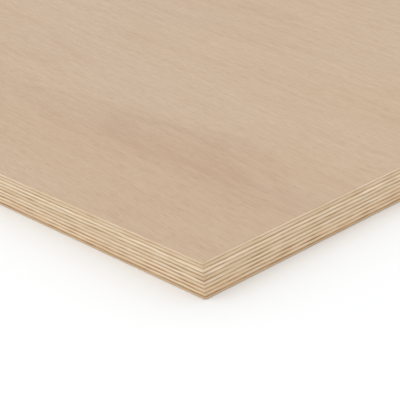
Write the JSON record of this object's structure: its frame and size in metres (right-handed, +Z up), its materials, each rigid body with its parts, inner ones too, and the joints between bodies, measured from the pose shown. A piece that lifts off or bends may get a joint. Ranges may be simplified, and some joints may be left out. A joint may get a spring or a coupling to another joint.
{
  "type": "plywood sheet",
  "caption": "Flat sheet of plywood with sanded faces and square sawn edges that show its stacked veneers and glue lines, for cutting into panels, decking, furniture and boxes.",
  "frame": {"origin": "centre of the back, the face that the sheet lies on", "axes": "+X along the length and the face grain, +Y across the grain, +Z up through the thickness to the better face"},
  "size_m": [2.44, 1.22, 0.018],
  "materials": {
    "face_veneer": "sanded, unfinished rotary-cut veneer, pinkish tan, fine short pores along the sheet",
    "back_veneer": "sanded, unfinished rotary-cut veneer, pinkish tan",
    "long_ply": "sawn and sanded edge, pale cream veneer with its grain along the sheet",
    "crossband": "sawn and sanded edge, pale cream veneer with its grain across the sheet",
    "glue_line": "hard brown resin film between veneers, cut flush with the edge"
  },
  "bodies": {
    "root": {"face_veneer": "face_veneer", "crossband_2": "crossband", "long_ply_3": "long_ply", "crossband_4": "crossband", "centre_ply_5": "long_ply", "centre_ply_6": "long_ply", "crossband_7": "crossband", "long_ply_8": "long_ply", "crossband_9": "crossband", "back_veneer": "back_veneer"}
  },
  "joints": []
}
